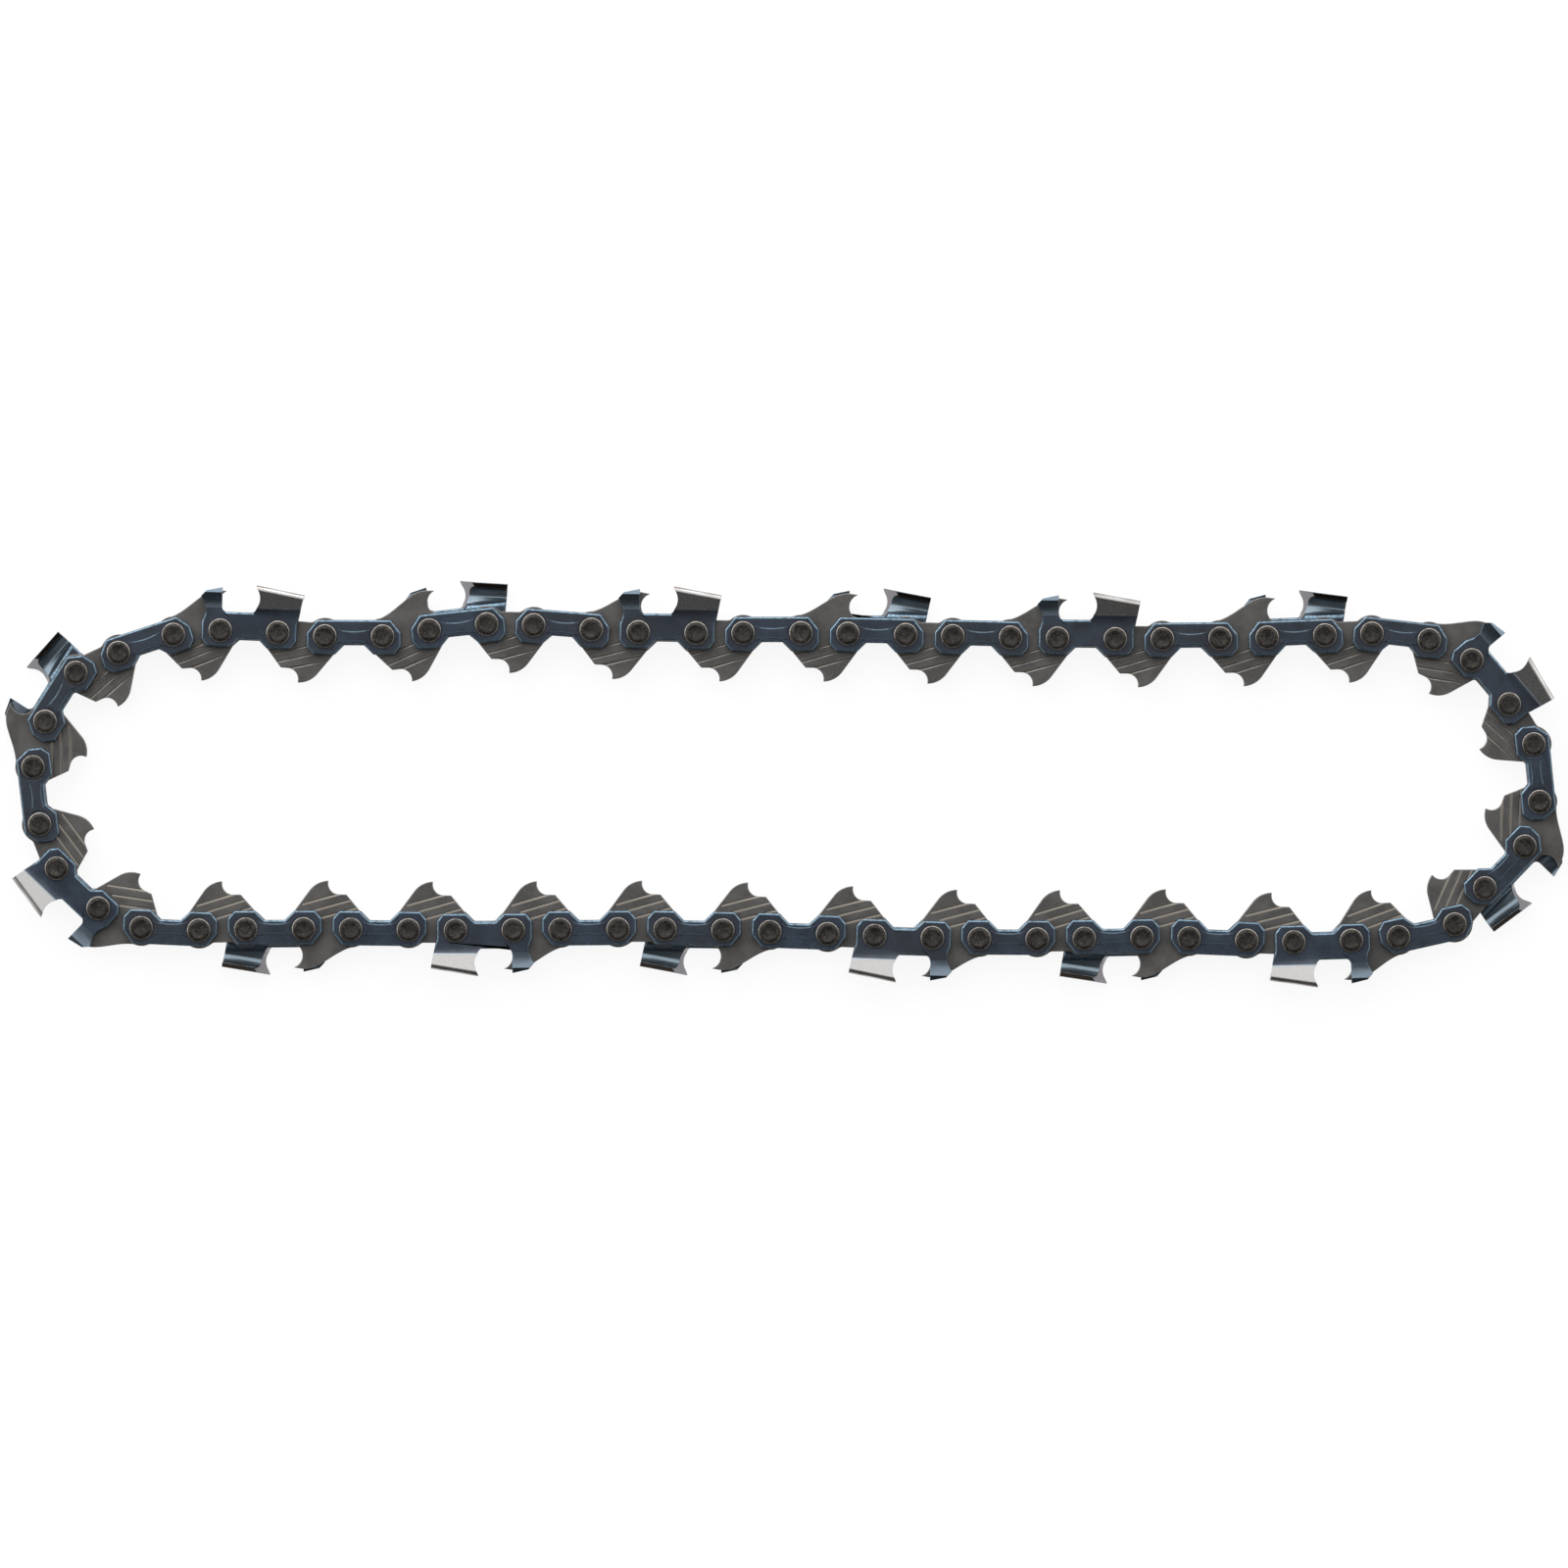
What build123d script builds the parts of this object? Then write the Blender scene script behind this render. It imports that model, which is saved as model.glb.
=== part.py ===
from build123d import *
import math
import os

# A loop of chainsaw chain, lying on its side on a flat surface. Millimetres, +Z up.
# Seen from above, the links run clockwise. In a link's own frame, X runs clockwise from its
# first rivet to its second, Y points out of the loop and Z points up, with Z = 0 in the middle of
# the drive links. The saw pulls the chain the other way, so each cutter's depth gauge leads.

# Chain
units = 8                   # repeats of the link pattern round the loop
group_limit = 60            # groups that the links come in
strap_pitch = 10.5          # rivet to rivet in a tie strap or a cutter
drive_pitch = 8.55          # rivet to rivet in a drive link
gauge = 1.27                # drive link thickness, the width of the guide bar's groove
plate = 1.2                 # tie strap and cutter thickness
side_clearance = 0.08       # between a drive link and the plates beside it
corner_radius = 0.45        # rounding of the stamped outlines

# Rivet: a hub between the plates, a shank through each plate and a peened head outside it
hub_radius = 2.3
hub_clearance = 0.08        # radial, hub in the drive link's bore
shank_radius = 1.7
shank_clearance = 0.02      # radial, shank in the plate's hole
head_radius = 2.2
head_flat_radius = 1.65
head_height = 0.45

# Tie strap
strap_top = 2.95            # outer edge above the rivet line
strap_flat = 1.5            # length of the outer edge past the rivet
lobe_reach = 3.35           # end of a lobe past the rivet
lobe_shoulder = 0.6         # where the end's outer chamfer stops
lobe_heel = 1.9             # where its lower chamfer starts
lobe_foot = 2.1             # end of the lobe's foot past the rivet
lobe_depth = 3.35           # feet that ride on the guide bar's rails
waist_depth = 1.65          # waist between the feet
waist_half = 1.85
rib_height = 0.12           # stamped rib between the rivets
rib_side = 0.2              # width of its sloping sides
rib_fall = 0.8              # share of its height that they take
rib_gap = 0.25              # from a rivet's head to the rib
rib_rise = -0.05            # middle of the rib above the rivet line
rib_end = 1.75              # half width at its ends
rib_waist = 0.9             # half width in its middle

# Drive link
shoulder_radius = 3.35      # round each rivet
saddle_height = 2.35        # dip between the shoulders
saddle_radius = 1.0
front_flank = 50            # degrees between the tang's front edge and the rivet line
rear_flank = 54
toe_depth = 6.3             # corner below the front flank
toe_length = 1.3
tip_depth = 8.8             # sharp tip of the tang
tip_x = -0.1
heel_depth = 7.0            # where the rear flank rounds towards the tip
groove_count = 3            # slanting oil grooves across each face of the tang
groove_start = (0.6, -5.55)  # middle of the lowest
groove_step = (-1.6, 1.25)  # from one to the next above it
groove_length = 8.4
groove_width = 0.5
groove_depth = 0.12
groove_keel = -0.13         # its deepest line, off the middle of its width
groove_slope = 16           # degrees

# Bumper on the drive link ahead of each cutter, a ramp with an overhanging tip
ramp_third = (-1.8, 4.5)
ramp_middle = (0.4, 5.9)
ramp_crest = (2.6, 7.05)
ramp_back = (4.4, 7.3)
bumper_tip = (6.1, 7.05)
bumper_throat = (4.5, 4.9)
bumper_foot = (5.4, 3.0)

# Cutter: base plate, depth gauge and tooth in one bent plate
cutter_nose = 8.7           # front of the base, from the link's middle
cutter_tail = 8.67          # rear of the base
cutter_chin = 1.6           # where the nose and the tail start to round under, below the rivets
cutter_cheek = 1.4          # where they start to lean, above the rivets
cutter_depth = 3.0          # feet
cutter_foot = 1.1           # foot's end in from the nose and the tail
cutter_waist = 1.45
waist_front = 2.0           # waist, from the link's middle
waist_rear = 1.7
gullet_floor = 3.4
gullet_radius = 0.9
gauge_root = 8.0            # front of the depth gauge at its foot, from the link's middle
gauge_point = 9.0           # its forward point
gauge_point_height = 6.1
gauge_brow_height = 7.2     # front of its top, above its foot
gauge_height = 7.85         # rear of its top
gauge_rear = 5.07
gauge_set = 0.35            # how far it leans out from the base
gauge_lean_height = 4.9     # where it starts to lean out
gauge_crown_height = 6.9    # where it turns back in towards its top
kerf = 6.4                  # width of cut, over the corners of left and right cutters
tooth_height = 8.6          # top plate above the rivets, in line with the link's middle
top_fall = 9.5              # degrees, of the top plate towards the rear
tooth_rear = 9.1            # rear edge at the gullet floor, from the link's middle
rear_lean = 11              # degrees, of the rear edge
joggle = 0.9                # height of the bend that sets the tooth out from the base
side_lean = 8               # degrees, of the side plate outwards
top_slope = 3               # degrees, of the top plate down to its free edge
top_reach = 0.6             # free edge of the top plate past the middle of the chain
top_plate = 0.85            # thickness
bend_radius = 0.9           # outside of the bend between side plate and top plate
inner_bend_radius = 1.7     # inside of the same bend
filing_angle = 30           # degrees, of the top plate's cutting edge
hollow_radius = 3.3         # ground hollow under the cutting edge
hollow_x = 2.14             # axis of the hollow, ahead of the link's middle at the cutting corner
hollow_y = 6.2

# Where the loop lies: points clockwise along the rivets from the upper left, in the chain's size
# as photographed. The links keep their own pitch, and the line is scaled a little to close on it.
route_points = [
    (-121.7, 24.1), (-111.7, 27.4), (-97.5, 28.1), (-73.3, 27.1), (-64.9, 28.2), (-54.6, 29.3),
    (-35.0, 28.3), (2.7, 27.7), (40.5, 26.9), (79.0, 26.7), (98.5, 27.3), (117.4, 26.5),
    (125.4, 22.8), (132.2, 14.8), (136.8, 7.3), (137.8, -3.2), (134.9, -11.6), (127.8, -18.9),
    (122.6, -25.3), (112.0, -27.8), (98.5, -28.7), (74.0, -28.0), (46.0, -28.2), (17.0, -27.6),
    (-22.0, -26.4), (-60.0, -26.6), (-107.0, -26.6), (-118.1, -26.0), (-125.8, -22.3),
    (-133.0, -15.3), (-136.1, -7.2), (-137.3, 3.3), (-135.0, 11.8), (-129.7, 20.3)]
route_samples = 4000        # short chords that stand for the line

strap_half = strap_pitch / 2
drive_half = drive_pitch / 2
plate_inner = gauge / 2 + side_clearance
plate_outer = plate_inner + plate
hole_radius = shank_radius + shank_clearance
strap_rivets = [(-strap_half, 0), (strap_half, 0)]
drive_rivets = [(-drive_half, 0), (drive_half, 0)]

# Rivet, turned about its own axis
rivet_side = [
    (0, plate_outer + head_height), (head_flat_radius, plate_outer + head_height),
    (head_radius, plate_outer), (shank_radius, plate_outer), (shank_radius, plate_inner),
    (hub_radius, plate_inner)]
with BuildPart() as rivet:
    with BuildSketch(Plane.XZ):
        with BuildLine():
            Polyline(*rivet_side, *[(r, -z) for r, z in reversed(rivet_side)], close=True)
        make_face()
    revolve(axis=Axis.Z)

# Tie strap, with its rib on the outer face
strap_end = [
    (strap_half + strap_flat, strap_top), (strap_half + lobe_reach, lobe_shoulder),
    (strap_half + lobe_reach, -lobe_heel), (strap_half + lobe_foot, -lobe_depth),
    (waist_half + lobe_depth - waist_depth, -lobe_depth), (waist_half, -waist_depth)]
rib_half = strap_half - head_radius / 2
with BuildPart() as tie_strap:
    with BuildSketch(Plane.XY.offset(plate_inner)) as strap_outline:
        with BuildLine():
            Polyline(*strap_end, *[(-x, y) for x, y in reversed(strap_end)], close=True)
        make_face()
        fillet(strap_outline.vertices(), corner_radius)
        with Locations(*strap_rivets):
            Circle(hole_radius, mode=Mode.SUBTRACT)
    extrude(amount=plate)
    with BuildSketch(Plane.XY.offset(plate_outer)):
        with BuildLine():
            ThreePointArc(
                (-rib_half, rib_rise + rib_end), (0, rib_rise + rib_waist),
                (rib_half, rib_rise + rib_end))
            Line((rib_half, rib_rise + rib_end), (rib_half, rib_rise - rib_end))
            ThreePointArc(
                (rib_half, rib_rise - rib_end), (0, rib_rise - rib_waist),
                (-rib_half, rib_rise - rib_end))
            Line((-rib_half, rib_rise - rib_end), (-rib_half, rib_rise + rib_end))
        make_face()
        with Locations(*strap_rivets):
            Circle(head_radius + rib_gap, mode=Mode.SUBTRACT)
    extrude(amount=rib_height)
    rib_face = tie_strap.faces().sort_by(Axis.Z)[-1]
    chamfer(rib_face.edges(), rib_side, rib_height * rib_fall, reference=rib_face)

# Drive link: two shoulders, and a hooked tang with flanks tangent to them
front_lean = math.radians(front_flank)
rear_slope = math.radians(rear_flank)
front_tangent = (
    -drive_half - shoulder_radius * math.sin(front_lean), -shoulder_radius * math.cos(front_lean))
rear_tangent = (
    drive_half + shoulder_radius * math.sin(rear_slope), -shoulder_radius * math.cos(rear_slope))
toe_x = front_tangent[0] + (toe_depth + front_tangent[1]) / math.tan(front_lean)
heel_x = rear_tangent[0] - (heel_depth + rear_tangent[1]) / math.tan(rear_slope)
hook_start = (toe_x + toe_length, -toe_depth)
tip = (tip_x, -tip_depth)
groove_places = [
    (groove_start[0] + i * groove_step[0], groove_start[1] + i * groove_step[1])
    for i in range(groove_count)]
with BuildSketch() as drive_outline:
    with BuildLine():
        Polyline(
            hook_start, (toe_x, -toe_depth), front_tangent, (-drive_half, saddle_height),
            (drive_half, saddle_height), rear_tangent, (heel_x, -heel_depth))
        TangentArc(
            (heel_x, -heel_depth), tip, tangent=(-math.cos(rear_slope), -math.sin(rear_slope)))
        TangentArc(hook_start, tip, tangent=(1, 0))
    make_face()
    with Locations(*drive_rivets):
        Circle(shoulder_radius)
    saddle = drive_outline.vertices().group_by(Axis.Y)[-1]
    fillet(saddle, saddle_radius)

# Bumper: the ramp on the outer edge of the drive links ahead of the cutters
with BuildSketch() as bumper_outline:
    with BuildLine():
        Spline((-drive_half, shoulder_radius), ramp_third, ramp_middle, ramp_crest, ramp_back)
        Line(ramp_back, bumper_tip)
        ThreePointArc(bumper_tip, bumper_throat, bumper_foot)
        Polyline(bumper_foot, (drive_half, 0), (-drive_half, 0), (-drive_half, shoulder_radius))
    make_face()

# The two kinds of drive link, with the same V-shaped grooves across both faces of the tang
with BuildPart() as groove:
    with BuildSketch(Plane.YZ):
        with BuildLine():
            Polyline(
                (groove_keel, gauge / 2 - groove_depth),
                (groove_width - groove_keel, gauge / 2 + groove_depth),
                (-groove_width - groove_keel, gauge / 2 + groove_depth), close=True)
        make_face()
    extrude(amount=groove_length / 2, both=True)
with BuildPart() as grooves:
    with Locations(*[Location((*place, 0), (0, 0, groove_slope)) for place in groove_places]):
        add(groove.part)
    mirror(about=Plane.XY)
with BuildPart() as drive_link:
    with BuildSketch(Plane.XY.offset(-gauge / 2)):
        add(drive_outline.sketch)
        with Locations(*drive_rivets):
            Circle(hub_radius + hub_clearance, mode=Mode.SUBTRACT)
    extrude(amount=gauge)
    add(grooves.part, mode=Mode.SUBTRACT)
with BuildPart() as bumper_drive_link:
    with BuildSketch(Plane.XY.offset(-gauge / 2)):
        add(drive_outline.sketch)
        add(bumper_outline.sketch)
        with Locations(*drive_rivets):
            Circle(hub_radius + hub_clearance, mode=Mode.SUBTRACT)
    extrude(amount=gauge)
    add(grooves.part, mode=Mode.SUBTRACT)

# Depth gauge of a left cutter: a band that leans out and turns back in, cut to its outline
gauge_foot = gullet_floor / 2
gauge_bend = [
    (gauge_foot, 0), (gauge_lean_height, 0), (gauge_crown_height, gauge_set), (gauge_height, 0)]
with BuildPart() as depth_gauge:
    with BuildSketch(Plane.YZ.offset(-gauge_point)):
        with BuildLine():
            Polyline(
                *[(y, plate_inner + out) for y, out in gauge_bend],
                *[(y, plate_outer + out) for y, out in reversed(gauge_bend)], close=True)
        make_face()
    extrude(amount=gauge_point - gauge_rear + gullet_radius)
    with BuildSketch():
        with BuildLine():
            Polyline(
                (gullet_radius - gauge_rear, gullet_floor), (gullet_radius - gauge_rear, gauge_foot),
                (-gauge_root, gauge_foot), (-gauge_root, gullet_floor + gullet_radius),
                (-gauge_point, gauge_point_height), (-gauge_root, gauge_brow_height),
                (-gauge_rear, gauge_height), (-gauge_rear, gullet_floor + gullet_radius))
            TangentArc(
                (-gauge_rear, gullet_floor + gullet_radius),
                (gullet_radius - gauge_rear, gullet_floor), tangent=(0, -1))
        make_face()
    extrude(amount=kerf, mode=Mode.INTERSECT)

# Tooth of a left cutter, in sections across the chain with X up and Y out from its middle. Its
# outside is set out from the base, leans out, and bends over into a top plate that falls inwards
# and to the rear. The space under the plate is taken out of it, then its front is ground hollow.
side = math.radians(side_lean)
slope = math.radians(top_slope)
lean = math.radians(rear_lean)
bend = (tooth_height - bend_radius, kerf / 2 - bend_radius)
set_height = gullet_floor + joggle
set_reach = (
    bend[1] + bend_radius * math.cos(side)
    - (bend[0] - bend_radius * math.sin(side) - set_height) * math.tan(side))
corner_height = bend[0] + bend_radius * (
    math.cos(slope) + (1 + math.sin(slope)) * math.tan(slope))
above = tooth_height + plate
above_reach = (above - set_height) * math.tan(side)
top_plane = Plane(
    (0, corner_height, kerf / 2), z_dir=(math.tan(math.radians(top_fall)), 1, -math.tan(slope)))
rear_plane = Plane((tooth_rear, gullet_floor, 0), z_dir=(math.cos(lean), -math.sin(lean), 0))
with BuildPart() as under_tooth:
    inner = set_reach - plate / math.cos(side)
    with BuildSketch(Plane.YZ):
        with BuildLine():
            Polyline(
                (0, -kerf), (0, plate_inner), (gullet_floor, plate_inner), (set_height, inner),
                (above, inner + above_reach), (above, -kerf), close=True)
        make_face()
    extrude(amount=2 * tooth_rear)
    split(bisect_by=top_plane.offset(-top_plate), keep=Keep.BOTTOM)
    fillet(under_tooth.edges().filter_by(lambda e: e.length > plate).sort_by(Axis.Z)[-1], inner_bend_radius)
with BuildPart() as tooth:
    with BuildSketch(Plane.YZ):
        with BuildLine():
            Polyline(
                (gauge_foot, -top_reach), (gauge_foot, plate_outer), (gullet_floor, plate_outer),
                (set_height, set_reach), (above, set_reach + above_reach), (above, -top_reach),
                close=True)
        make_face()
    extrude(amount=2 * tooth_rear)
    split(bisect_by=top_plane, keep=Keep.BOTTOM)
    split(bisect_by=rear_plane, keep=Keep.BOTTOM)
    fillet(tooth.edges().filter_by(lambda e: e.length > plate).sort_by(Axis.Z)[-1], bend_radius)
    add(under_tooth.part, mode=Mode.SUBTRACT)
    with Locations(Location((-hollow_x, hollow_y, kerf / 2), (0, -filing_angle, 0))):
        Cylinder(hollow_radius, 4 * kerf, mode=Mode.SUBTRACT)

# Left cutter: the base plate with the depth gauge and the tooth. The right one is its mirror image.
with BuildPart() as left_cutter:
    with BuildSketch(Plane.XY.offset(plate_inner)) as base_outline:
        with BuildLine():
            Polyline(
                (-gauge_root, gullet_floor), (tooth_rear, gullet_floor), (cutter_tail, cutter_cheek),
                (cutter_tail, -cutter_chin), (cutter_tail - cutter_foot, -cutter_depth),
                (waist_rear + cutter_depth - cutter_waist, -cutter_depth),
                (waist_rear, -cutter_waist), (-waist_front, -cutter_waist),
                (cutter_waist - waist_front - cutter_depth, -cutter_depth),
                (cutter_foot - cutter_nose, -cutter_depth), (-cutter_nose, -cutter_chin),
                (-cutter_nose, cutter_cheek), close=True)
        make_face()
        fillet(
            base_outline.vertices().filter_by(lambda v: v.Y < gullet_floor - corner_radius),
            corner_radius)
        with Locations(*strap_rivets):
            Circle(hole_radius, mode=Mode.SUBTRACT)
    extrude(amount=plate)
    add(depth_gauge.part)
    add(tooth.part)
with BuildPart() as right_cutter:
    add(left_cutter.part)
    mirror(about=Plane.XY, mode=Mode.REPLACE)
with BuildPart() as lower_strap:
    add(tie_strap.part)
    mirror(about=Plane.XY, mode=Mode.REPLACE)

# The line of the rivets, as short chords, and the links stepped round it
with BuildLine():
    rivet_line = Spline(*route_points, periodic=True)
chords = [rivet_line.position_at(i / route_samples) for i in range(route_samples)]
link_count = 8 * units
pitches = [strap_pitch, drive_pitch] * (link_count // 2)


def rivets_along(scale):
    """Steps the links round the line at this scale. Returns the rivets and the turns made."""
    rivets, chord = [chords[0] * scale], 0
    for pitch in pitches:
        start, end = chords[chord % route_samples] * scale, chords[(chord + 1) % route_samples] * scale
        while (end - rivets[-1]).length < pitch:
            chord += 1
            start, end = end, chords[(chord + 1) % route_samples] * scale
        low, high = 0.0, 1.0
        while high - low > 1e-9:
            share = (low + high) / 2
            near = (start + (end - start) * share - rivets[-1]).length < pitch
            low, high = (share, high) if near else (low, share)
        rivets.append(start + (end - start) * low)
    return rivets, (chord + low) / route_samples


# The scale at which the last link ends on the first rivet, between half and twice as photographed
small, large = 0.5, 2.0
while large - small > 1e-9:
    route_scale = (small + large) / 2
    rivets, turns = rivets_along(route_scale)
    small, large = (route_scale, large) if turns > 1 else (small, route_scale)
rivets[link_count] = rivets[0]

# Each link as its separate pieces, in its own frame
masters = {
    "rivet": rivet, "tie_strap": tie_strap, "lower_tie_strap": lower_strap,
    "drive_link": drive_link, "bumper_drive_link": bumper_drive_link,
    "left_cutter": left_cutter, "right_cutter": right_cutter}
for name, master in masters.items():
    master.part.label = name
on_first, on_second = [Pos(*place) * rivet.part for place in strap_rivets]
pattern = [
    ("tie_strap_link", [tie_strap.part, lower_strap.part, on_first, on_second]),
    ("bumper_drive_link", [bumper_drive_link.part]),
    ("left_cutter_link", [left_cutter.part, lower_strap.part, on_first, on_second]),
    ("drive_link", [drive_link.part]),
    ("tie_strap_link", [tie_strap.part, lower_strap.part, on_first, on_second]),
    ("bumper_drive_link", [bumper_drive_link.part]),
    ("right_cutter_link", [tie_strap.part, right_cutter.part, on_first, on_second]),
    ("drive_link", [drive_link.part])]

# The chain comes in at most this many groups, one to a link. Past that, plain drive links at even
# distances round the loop go into the group of the tie strap link after them.
shared = max(link_count - group_limit, 0)
beside = {}
for turn in range(shared):
    drive = 4 * round(turn * link_count / (4 * shared)) + 3
    beside[drive] = (drive + 1) % link_count

names, counts, groups = [], {}, {}
for index in range(link_count):
    kind, pieces = pattern[index % len(pattern)]
    counts[kind] = counts.get(kind, 0) + 1
    names.append(f"{kind}_{counts[kind]:02d}")
    first, second = rivets[index], rivets[index + 1]
    heading = math.degrees(math.atan2(second.Y - first.Y, second.X - first.X))
    link_place = Location((first + second) * 0.5, (0, 0, heading))
    groups[index] = [link_place * piece for piece in pieces]
for drive, strap in beside.items():
    groups[strap] += groups.pop(drive)
    names[strap] += f"_with_{names[drive]}"

# The loop stands on its lowest point, with the middle of its length and width at the origin
box = Compound([piece for pieces in groups.values() for piece in pieces]).bounding_box()
origin = Pos(-box.center().X, -box.center().Y, -box.min.Z)
os.makedirs("parts", exist_ok=True)
for index, pieces in groups.items():
    link = Compound(label=names[index], children=[origin * piece for piece in pieces])
    export_step(link, f"parts/{names[index]}.step")
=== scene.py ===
import math
import random

import bmesh
import bpy
from mathutils import Matrix, Vector


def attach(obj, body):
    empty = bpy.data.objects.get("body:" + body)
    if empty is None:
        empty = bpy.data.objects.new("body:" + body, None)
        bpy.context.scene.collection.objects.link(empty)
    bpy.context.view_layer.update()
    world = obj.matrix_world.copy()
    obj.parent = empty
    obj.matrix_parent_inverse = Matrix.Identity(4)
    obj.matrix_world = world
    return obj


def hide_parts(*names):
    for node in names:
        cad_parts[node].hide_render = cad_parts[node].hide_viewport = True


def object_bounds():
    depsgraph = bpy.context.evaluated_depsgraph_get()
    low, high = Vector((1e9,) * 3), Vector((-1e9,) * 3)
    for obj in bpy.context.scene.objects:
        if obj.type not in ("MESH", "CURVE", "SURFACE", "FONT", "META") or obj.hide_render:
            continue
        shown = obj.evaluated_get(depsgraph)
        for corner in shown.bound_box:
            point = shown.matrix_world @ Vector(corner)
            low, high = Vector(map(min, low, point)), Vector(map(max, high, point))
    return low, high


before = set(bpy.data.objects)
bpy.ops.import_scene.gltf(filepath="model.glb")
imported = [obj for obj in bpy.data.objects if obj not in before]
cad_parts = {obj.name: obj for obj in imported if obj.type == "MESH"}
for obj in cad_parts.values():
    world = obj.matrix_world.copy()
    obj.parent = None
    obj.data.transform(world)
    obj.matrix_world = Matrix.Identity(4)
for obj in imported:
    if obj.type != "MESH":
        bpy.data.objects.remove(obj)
cadBox = [list(corner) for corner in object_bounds()]
mm = 0.001


# The links, clockwise from the upper left, in the order that they are riveted together
chain = {
    "pattern": ["tie_strap_link", "bumper_drive_link", "left_cutter_link", "drive_link",
                "tie_strap_link", "bumper_drive_link", "right_cutter_link", "drive_link"],
    "repeats": 8,
    "weldGap": 0.002 * mm,       # the frame's meshes are split along every face
    "rivetSize": 5.0 * mm,       # only rivets are smaller than this both ways
    "driveHalf": 0.7 * mm,       # drive links stay this close to the chain's middle plane
    "cutterHeight": 2.0 * mm,    # of a cutter link's two plates, only the bent one is higher than this
    "seed": 38,
}


def linkNames():
    names, counts = [], {}
    for kind in chain["pattern"] * chain["repeats"]:
        counts[kind] = counts.get(kind, 0) + 1
        names.append(f"{kind}_{counts[kind]:02d}")
    return names


def shellsOf(node):              # a node's separate solids, welded
    whole = bmesh.new()
    whole.from_mesh(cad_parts[node].data)
    bmesh.ops.remove_doubles(whole, verts=whole.verts, dist=chain["weldGap"])
    seen, shells = set(), []
    for start in whole.verts:
        if start in seen:
            continue
        island, front = [], [start]
        seen.add(start)
        while front:
            vert = front.pop()
            island.append(vert)
            for edge in vert.link_edges:
                other = edge.other_vert(vert)
                if other not in seen:
                    seen.add(other)
                    front.append(other)
        place = {vert: n for n, vert in enumerate(island)}
        faces = {face for vert in island for face in vert.link_faces}
        points = [vert.co.copy() for vert in island]
        low = Vector([min(p[k] for p in points) for k in range(3)])
        high = Vector([max(p[k] for p in points) for k in range(3)])
        shells.append({
            "points": points, "size": high - low, "middle": (low + high) / 2,
            "faces": sorted([place[v] for v in face.verts] for face in faces)})
    whole.free()
    return shells


def isRivet(shell):
    return max(shell["size"].x, shell["size"].y) < chain["rivetSize"]


def isDrive(shell):              # flat, and in the chain's middle plane
    offMiddle = abs(shell["middle"].z - middlePlane)
    return shell["size"].z < 2 * chain["driveHalf"] and offMiddle < chain["driveHalf"] / 2


names = linkNames()
nodeOf = {name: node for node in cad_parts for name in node.split("_with_")}
shells = {node: shellsOf(node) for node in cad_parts}
rivetsOf = {node: [s for s in found if isRivet(s)] for node, found in shells.items()}
oneRivet = rivetsOf[nodeOf[names[0]]][0]
middlePlane = oneRivet["middle"].z

# Where the rivets are: each strap or cutter link holds two, and its second is nearer to the next such link
pivots = [None] * len(names)
for index in range(0, len(names), 2):
    later = rivetsOf[nodeOf[names[(index + 2) % len(names)]]]
    ahead = (later[0]["middle"] + later[1]["middle"]) / 2
    own = sorted(rivetsOf[nodeOf[names[index]]], key=lambda s: -(s["middle"] - ahead).length)
    pivots[index], pivots[index + 1] = own[0]["middle"], own[1]["middle"]


def linkFrame(index):            # from a link's own axes to the frame: X clockwise, Y out of the loop, Z up
    first, second = pivots[index], pivots[(index + 1) % len(pivots)]
    along = (second - first).normalized()
    turned = Matrix((along, (-along.y, along.x, 0), (0, 0, 1))).transposed()
    return Matrix.Translation((first + second) / 2) @ turned.to_4x4()


print("links:", len(names), "rivets:", len(pivots))


# Shared shader effects

def newGroup(name, inputs, outputs):     # an input with no value is a place, the others are numbers
    group = bpy.data.node_groups.new(name, "ShaderNodeTree")
    for label, start in inputs.items():
        kind = "NodeSocketVector" if start is None else "NodeSocketFloat"
        socket = group.interface.new_socket(label, in_out="INPUT", socket_type=kind)
        if start is not None:
            socket.default_value = start
    for label in outputs:
        group.interface.new_socket(label, in_out="OUTPUT", socket_type="NodeSocketFloat")
    return group, group.nodes.new("NodeGroupInput"), group.nodes.new("NodeGroupOutput")


def addNode(tree, kind, values=None, **settings):
    node = tree.nodes.new(kind)
    for key, value in settings.items():
        setattr(node, key, value)
    for key, value in (values or {}).items():
        node.inputs[key].default_value = value
    return node


def wire(tree, source, target):
    tree.links.new(source, target)


def math2(tree, operation, first, second, clamp=False):
    node = addNode(tree, "ShaderNodeMath", operation=operation, use_clamp=clamp)
    for socket, value in zip(node.inputs, (first, second)):
        if isinstance(value, bpy.types.NodeSocket):
            wire(tree, value, socket)
        else:
            socket.default_value = value
    return node.outputs[0]


def ramp(tree, value, low, high, outLow=0.0, outHigh=1.0):
    span = {"From Min": low, "From Max": high, "To Min": outLow, "To Max": outHigh}
    node = addNode(tree, "ShaderNodeMapRange", span, interpolation_type="SMOOTHSTEP")
    wire(tree, value, node.inputs["Value"])
    return node.outputs["Result"]


def mixColour(tree, share, first, second):
    node = addNode(tree, "ShaderNodeMix", data_type="RGBA")
    for socket, value in ((node.inputs[0], share), (node.inputs[6], first), (node.inputs[7], second)):
        if isinstance(value, bpy.types.NodeSocket):
            wire(tree, value, socket)
        else:
            socket.default_value = value
    return node.outputs[2]       # sockets 6, 7 and 2 are the ones for colours


grainLook = {                    # fine grain of rolled and tumbled steel, with scratches along the link
    "pits": {"Detail": 3.0, "Roughness": 0.65},
    "lines": {"Scale": 1.6, "Detail": 4.0, "Roughness": 0.7}, "stretch": (0.35, 5.0, 1.5),
    "toneSpan": (0.3, 0.7),
}


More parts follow.
